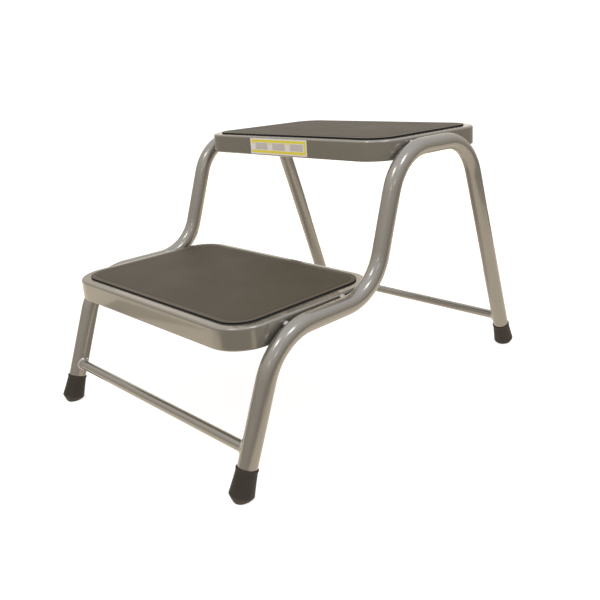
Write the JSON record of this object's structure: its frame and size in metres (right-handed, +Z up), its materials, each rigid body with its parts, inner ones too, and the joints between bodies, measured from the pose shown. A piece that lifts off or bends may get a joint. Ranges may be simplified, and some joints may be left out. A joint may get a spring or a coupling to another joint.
{
  "type": "step stand",
  "caption": "Fixed welded step stand: bent steel tube side frames, pressed treads with rubber mats at a low and a high level, cross tubes and rubber feet.",
  "frame": {"origin": "on the floor, under the centre of the stand's box", "axes": "+X to the right-hand side seen from the front, +Y from the low tread at the front to the high tread at the rear, +Z up"},
  "size_m": [0.464, 0.6335, 0.395],
  "materials": {
    "frame_paint": "silver-grey metallic gloss paint on bent steel tube",
    "tread_paint": "silver-grey metallic gloss paint on pressed sheet",
    "weld_paint": "silver-grey paint over small weld beads",
    "mat_rubber": "dark grey-brown matte rubber with a fine grain",
    "foot_rubber": "black-brown matte moulded rubber",
    "washer_steel": "plain zinc-coated steel washer",
    "label_film": "blank vinyl label with a plain yellow border"
  },
  "bodies": {
    "root": {"blank_label": "label_film", "front_cross_tube": "frame_paint", "front_left_cross_weld": "weld_paint", "front_left_foot": "foot_rubber", "front_left_foot_washer": "washer_steel", "front_right_cross_weld": "weld_paint", "front_right_foot": "foot_rubber", "front_right_foot_washer": "washer_steel", "left_side_tube": "frame_paint", "lower_left_tread_welds": "weld_paint", "lower_right_tread_welds": "weld_paint", "lower_tread_channel": "tread_paint", "lower_tread_mat": "mat_rubber", "lower_tread_tray": "tread_paint", "rear_cross_tube": "frame_paint", "rear_left_cross_weld": "weld_paint", "rear_left_foot": "foot_rubber", "rear_left_foot_washer": "washer_steel", "rear_right_cross_weld": "weld_paint", "rear_right_foot": "foot_rubber", "rear_right_foot_washer": "washer_steel", "right_side_tube": "frame_paint", "upper_left_tread_welds": "weld_paint", "upper_right_tread_welds": "weld_paint", "upper_tread_channel": "tread_paint", "upper_tread_mat": "mat_rubber", "upper_tread_tray": "tread_paint"}
  },
  "joints": []
}
